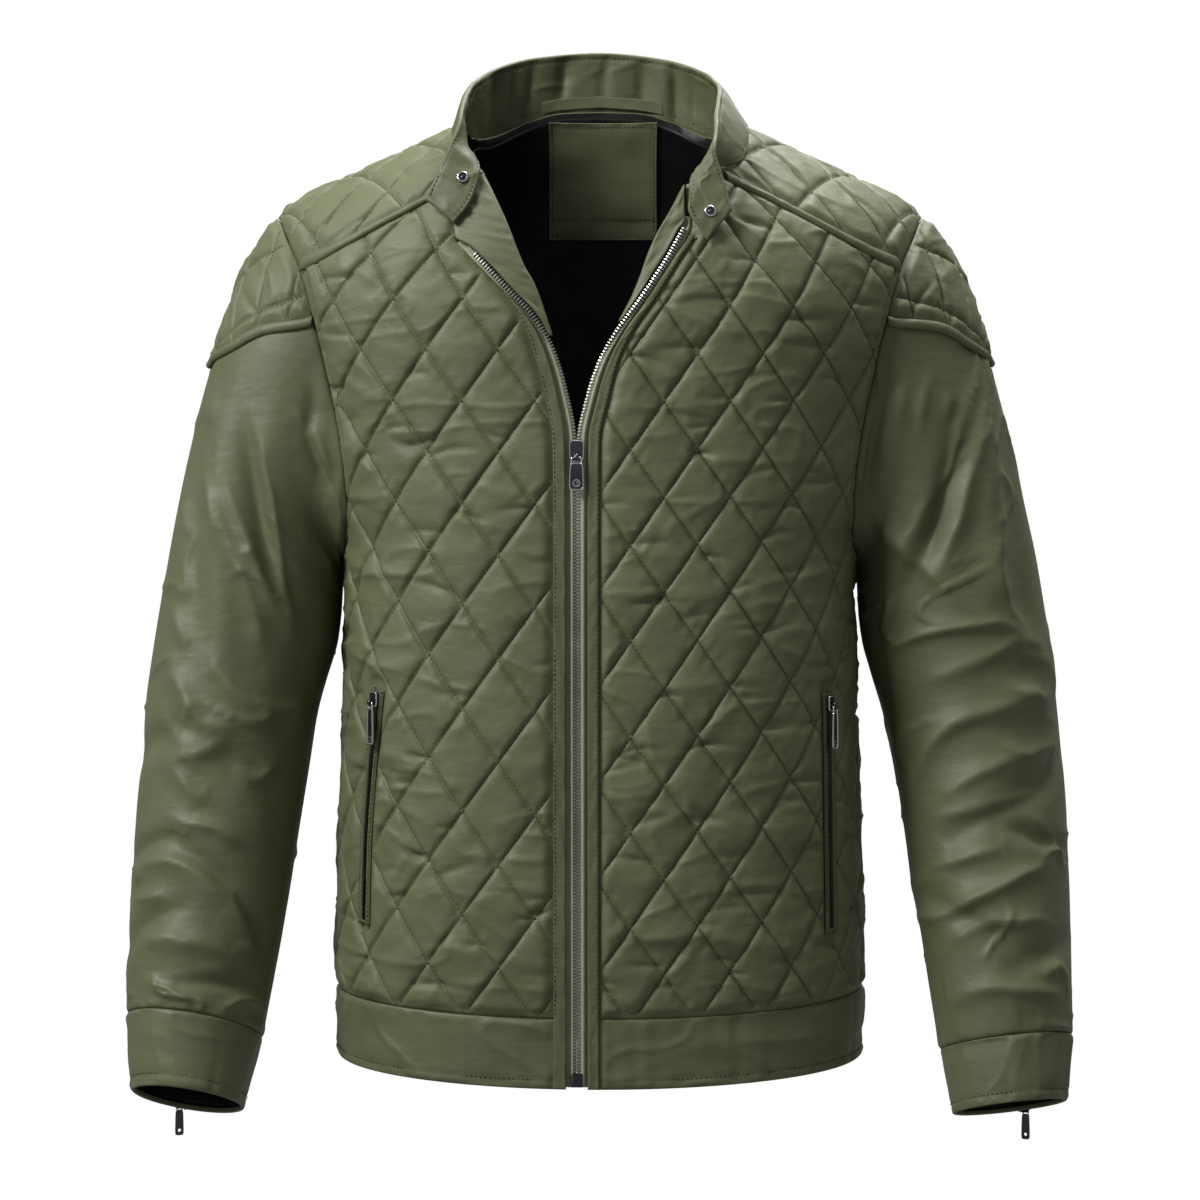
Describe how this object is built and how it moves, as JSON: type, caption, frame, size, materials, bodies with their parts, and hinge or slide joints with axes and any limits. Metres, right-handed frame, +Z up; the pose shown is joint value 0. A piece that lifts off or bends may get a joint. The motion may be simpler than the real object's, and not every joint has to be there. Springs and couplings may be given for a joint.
{
  "type": "quilted jacket",
  "caption": "Quilted zip jacket with a stand collar, quilted shoulders and body, plain sleeves with zip cuffs, welt zip pockets and a hem band; hollow, hung open at the neck.",
  "frame": {"origin": "in the middle of the body, level with the sides of the neck, where the jacket is held", "axes": "+Z up from the hem to the collar, -Y out of the chest, +X to the wearer's left"},
  "size_m": [0.6724, 0.2757, 0.8022],
  "materials": {
    "shell_quilted": "olive green satin nylon over thin wadding, stitched in diamonds",
    "shell_plain": "olive green satin nylon",
    "patch": "blank olive satin patch",
    "lining": "black satin lining",
    "zip_tape": "woven olive zip tape",
    "zip_metal": "gunmetal with a bright rim",
    "zip_teeth": "silver grey metal teeth"
  },
  "bodies": {
    "jacket": {"back": "shell_quilted", "back_lining": "lining", "collar": "shell_plain", "cuff_left": "shell_plain", "cuff_lining_left": "lining", "cuff_lining_right": "lining", "cuff_right": "shell_plain", "cuff_slider_left": "zip_metal", "cuff_slider_right": "zip_metal", "cuff_zip_left": "zip_teeth", "cuff_zip_right": "zip_teeth", "facing_left": "shell_plain", "facing_right": "shell_plain", "front_left": "shell_quilted", "front_right": "shell_quilted", "head_piping_left": "shell_plain", "head_piping_right": "shell_plain", "hem_band_back": "shell_plain", "hem_band_left": "shell_plain", "hem_band_right": "shell_plain", "main_slider": "zip_metal", "neck_patch": "patch", "neck_tape": "shell_plain", "pocket_slider_left": "zip_metal", "pocket_slider_right": "zip_metal", "pocket_welt_left": "shell_plain", "pocket_welt_right": "shell_plain", "pocket_zip_left": "zip_teeth", "pocket_zip_right": "zip_teeth", "sleeve_head_left": "shell_quilted", "sleeve_head_right": "shell_quilted", "sleeve_left": "shell_plain", "sleeve_right": "shell_plain", "snap_left": "zip_metal", "snap_right": "zip_metal", "welt_left": "shell_plain", "welt_right": "shell_plain", "yoke": "shell_quilted", "yoke_piping_back": "shell_plain", "yoke_piping_left": "shell_plain", "yoke_piping_right": "shell_plain", "zip_box": "zip_metal", "zip_tape_left": "zip_tape", "zip_tape_right": "zip_tape", "zip_teeth_left": "zip_teeth", "zip_teeth_right": "zip_teeth"},
    "main_pull": {"main_pull": "zip_metal"},
    "pocket_pull_right": {"pocket_pull_right": "zip_metal"},
    "pocket_pull_left": {"pocket_pull_left": "zip_metal"},
    "cuff_pull_right": {"cuff_pull_right": "zip_metal"},
    "cuff_pull_left": {"cuff_pull_left": "zip_metal"}
  },
  "joints": [
    {"name": "main_pull_hinge", "type": "hinge", "parent": "jacket", "child": "main_pull", "pos_m": [-0.0161, -0.1423, -0.241], "axis": [-0.9999, 0.0156, 0], "range_deg": [0, 150]},
    {"name": "pocket_pull_right_hinge", "type": "hinge", "parent": "jacket", "child": "pocket_pull_right", "pos_m": [-0.16071, -0.09303, -0.41], "axis": [-0.6782, 0.7349, 0], "range_deg": [0, 150]},
    {"name": "pocket_pull_left_hinge", "type": "hinge", "parent": "jacket", "child": "pocket_pull_left", "pos_m": [0.16476, -0.08839, -0.413], "axis": [-0.6374, -0.7705, 0], "range_deg": [0, 150]},
    {"name": "cuff_pull_right_hinge", "type": "hinge", "parent": "jacket", "child": "cuff_pull_right", "pos_m": [-0.30327, -0.02718, -0.70214], "axis": [0.9342, 0.3567, 0], "range_deg": [-12, 120]},
    {"name": "cuff_pull_left_hinge", "type": "hinge", "parent": "jacket", "child": "cuff_pull_left", "pos_m": [0.30696, -0.02636, -0.70521], "axis": [0.8945, -0.4471, 0], "range_deg": [-12, 120]}
  ]
}
